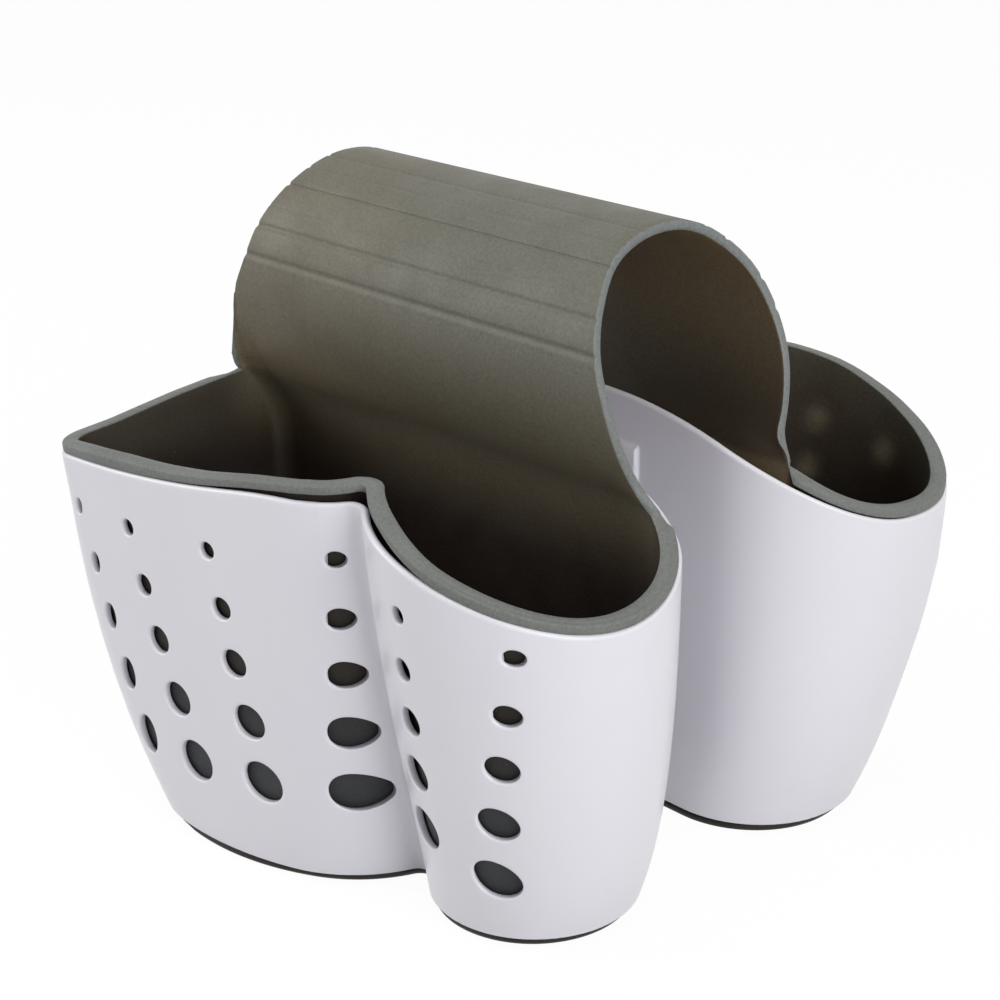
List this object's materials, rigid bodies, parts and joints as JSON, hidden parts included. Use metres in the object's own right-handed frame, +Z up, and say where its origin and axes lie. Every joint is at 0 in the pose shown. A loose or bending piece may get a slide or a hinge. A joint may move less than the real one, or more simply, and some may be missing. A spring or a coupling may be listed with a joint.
{
  "type": "saddle sink caddy",
  "caption": "Saddle caddy that hangs over a sink divider: twin perforated pockets with flexible liners for a sponge and a brush, joined by an arched strap with flex grooves.",
  "frame": {"origin": "midway between the two pockets, on the level of their soles, at the middle of the overall length", "axes": "+X along the sink divider towards the brush tubes, +Y from the front pocket to the rear pocket, +Z up"},
  "size_m": [0.1583, 0.165, 0.151],
  "materials": {
    "shell": "moulded, glossy",
    "liner": "fine moulded grain, satin"
  },
  "bodies": {
    "saddle": {"saddle_crown": "liner"},
    "front_pocket": {"front_liner": "liner", "front_shell": "shell"},
    "rear_pocket": {"rear_liner": "liner", "rear_shell": "shell"}
  },
  "joints": [
    {"name": "front_flex", "type": "hinge", "parent": "saddle", "child": "front_pocket", "pos_m": [0, -0.01779, 0.14377], "axis": [-1, 0, 0], "range_deg": [-4, 12], "stiffness_Nm_per_rad": 1},
    {"name": "rear_flex", "type": "hinge", "parent": "saddle", "child": "rear_pocket", "pos_m": [0, 0.01779, 0.14377], "axis": [1, 0, 0], "range_deg": [-4, 12], "stiffness_Nm_per_rad": 1}
  ]
}
